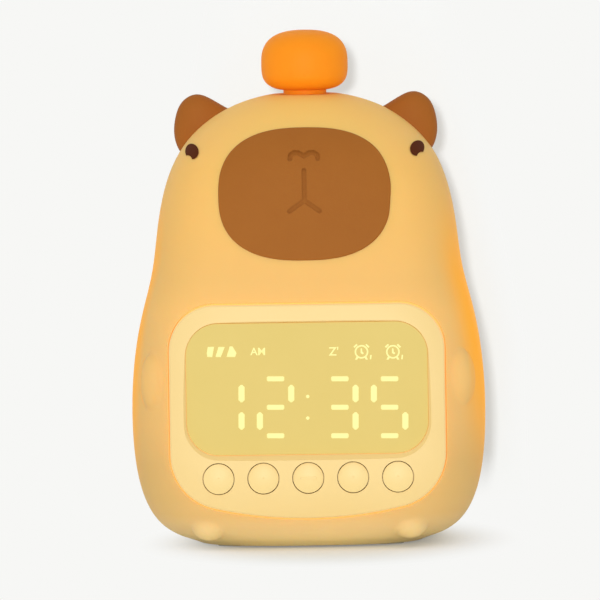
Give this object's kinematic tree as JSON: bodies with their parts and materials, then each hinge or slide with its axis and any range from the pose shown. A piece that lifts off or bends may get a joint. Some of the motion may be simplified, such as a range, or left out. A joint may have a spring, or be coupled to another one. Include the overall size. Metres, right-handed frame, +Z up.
{
  "type": "children's alarm clock with night light",
  "caption": "Sitting capybara night light with a digital alarm clock in its belly, a row of push buttons and an orange on the head that presses down.",
  "frame": {"origin": "on the table, under the middle of the clock's box", "axes": "+Z up, the face looks along -Y, +X to the viewer's right"},
  "size_m": [0.095, 0.083, 0.1382],
  "materials": {
    "skin": "matt moulded silicone",
    "muzzle": "matt moulded silicone",
    "ear": "matt moulded silicone",
    "eye": "matt moulded silicone",
    "orange": "matt moulded silicone",
    "foot_rubber": "matt moulded silicone",
    "panel": "fine matt moulded",
    "button": "fine matt moulded",
    "core": "fine matt moulded",
    "lamp": "fine matt moulded",
    "base": "fine matt moulded",
    "port": "fine matt moulded",
    "switch": "fine matt moulded",
    "plunger": "fine matt moulded",
    "display": "fine matt moulded",
    "board": "fine matt moulded",
    "diode": "fine matt moulded",
    "cone": "fine matt moulded",
    "component": "fine matt moulded",
    "battery": "fine matt moulded",
    "stem": "fine matt moulded",
    "lens": "satin",
    "screw": "plated",
    "magnet": "plated",
    "socket": "plated",
    "frame": "plated"
  },
  "bodies": {
    "root": {"body_skin": "skin", "muzzle": "muzzle", "ear_left": "ear", "ear_right": "ear", "eye_left": "eye", "eye_right": "eye", "front_panel": "panel", "display_lens": "lens", "led_display": "display", "main_board": "board", "board_components": "component", "board_screws": "screw", "switch_housings": "switch", "core_housing": "core", "battery": "battery", "lamp_post": "core", "light_board": "board", "light_diodes": "diode", "lamp_cover": "lamp", "snooze_switch": "switch", "base_cover": "base", "base_screws": "screw", "foot_pads": "foot_rubber", "speaker_frame": "frame", "speaker_cone": "cone", "speaker_magnet": "magnet", "port_plug": "port", "usb_socket": "socket", "usb_board": "board"},
    "button_1": {"button_cap_1": "button", "switch_plunger_1": "plunger"},
    "button_2": {"button_cap_2": "button", "switch_plunger_2": "plunger"},
    "button_3": {"button_cap_3": "button", "switch_plunger_3": "plunger"},
    "button_4": {"button_cap_4": "button", "switch_plunger_4": "plunger"},
    "button_5": {"button_cap_5": "button", "switch_plunger_5": "plunger"},
    "snooze_button": {"orange_cap": "orange", "button_stem": "stem", "snooze_plunger": "plunger"}
  },
  "joints": [
    {"name": "button_1_press", "type": "slide", "parent": "root", "child": "button_1", "axis": [0, 1, 0], "range_m": [0, 0.0006], "stiffness_N_per_m": 600, "springref_m": -0.0004},
    {"name": "button_2_press", "type": "slide", "parent": "root", "child": "button_2", "axis": [0, 1, 0], "range_m": [0, 0.0006], "stiffness_N_per_m": 600, "springref_m": -0.0004},
    {"name": "button_3_press", "type": "slide", "parent": "root", "child": "button_3", "axis": [0, 1, 0], "range_m": [0, 0.0006], "stiffness_N_per_m": 600, "springref_m": -0.0004},
    {"name": "button_4_press", "type": "slide", "parent": "root", "child": "button_4", "axis": [0, 1, 0], "range_m": [0, 0.0006], "stiffness_N_per_m": 600, "springref_m": -0.0004},
    {"name": "button_5_press", "type": "slide", "parent": "root", "child": "button_5", "axis": [0, 1, 0], "range_m": [0, 0.0006], "stiffness_N_per_m": 600, "springref_m": -0.0004},
    {"name": "snooze_press", "type": "slide", "parent": "root", "child": "snooze_button", "axis": [0, 0, -1], "range_m": [0, 0.0006], "stiffness_N_per_m": 700, "springref_m": -0.0004}
  ]
}
